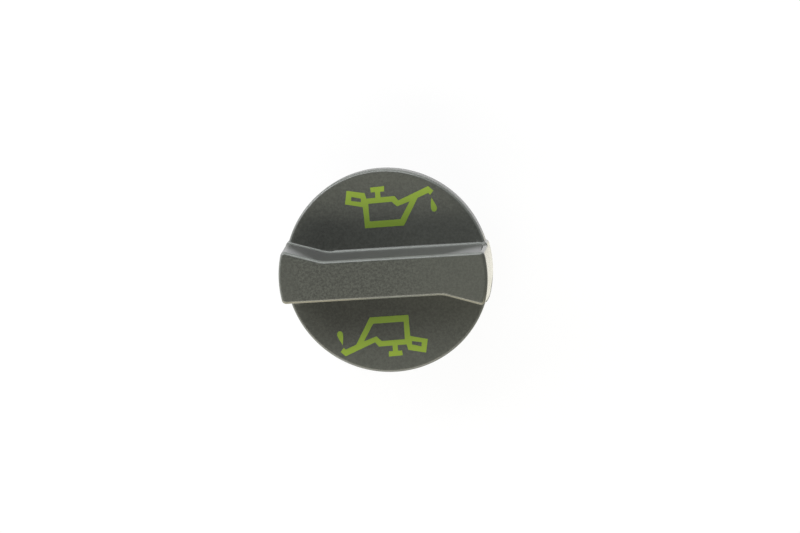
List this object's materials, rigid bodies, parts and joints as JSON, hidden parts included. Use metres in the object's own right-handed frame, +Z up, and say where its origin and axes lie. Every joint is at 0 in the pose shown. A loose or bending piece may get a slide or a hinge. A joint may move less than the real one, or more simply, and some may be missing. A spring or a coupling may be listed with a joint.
{
  "type": "oil filler cap",
  "caption": "Round dished plastic oil filler cap with a raised kinked grip bar, a bayonet neck below and a rubber sealing ring.",
  "frame": {"origin": "centre of the end of the neck, on the axis of the cap, where it stands", "axes": "+Z up along the axis of the neck towards the grip bar, +X along the grip bar"},
  "size_m": [0.0614, 0.06, 0.0328],
  "materials": {
    "grip_plastic": "finely grained, dull",
    "plug_plastic": "moulded, satin",
    "seal_rubber": "moulded rubber",
    "sign_ink": "printed ink"
  },
  "bodies": {
    "root": {"grip_cap": "grip_plastic", "closure_plug": "plug_plastic", "seal_ring": "seal_rubber"}
  },
  "joints": []
}
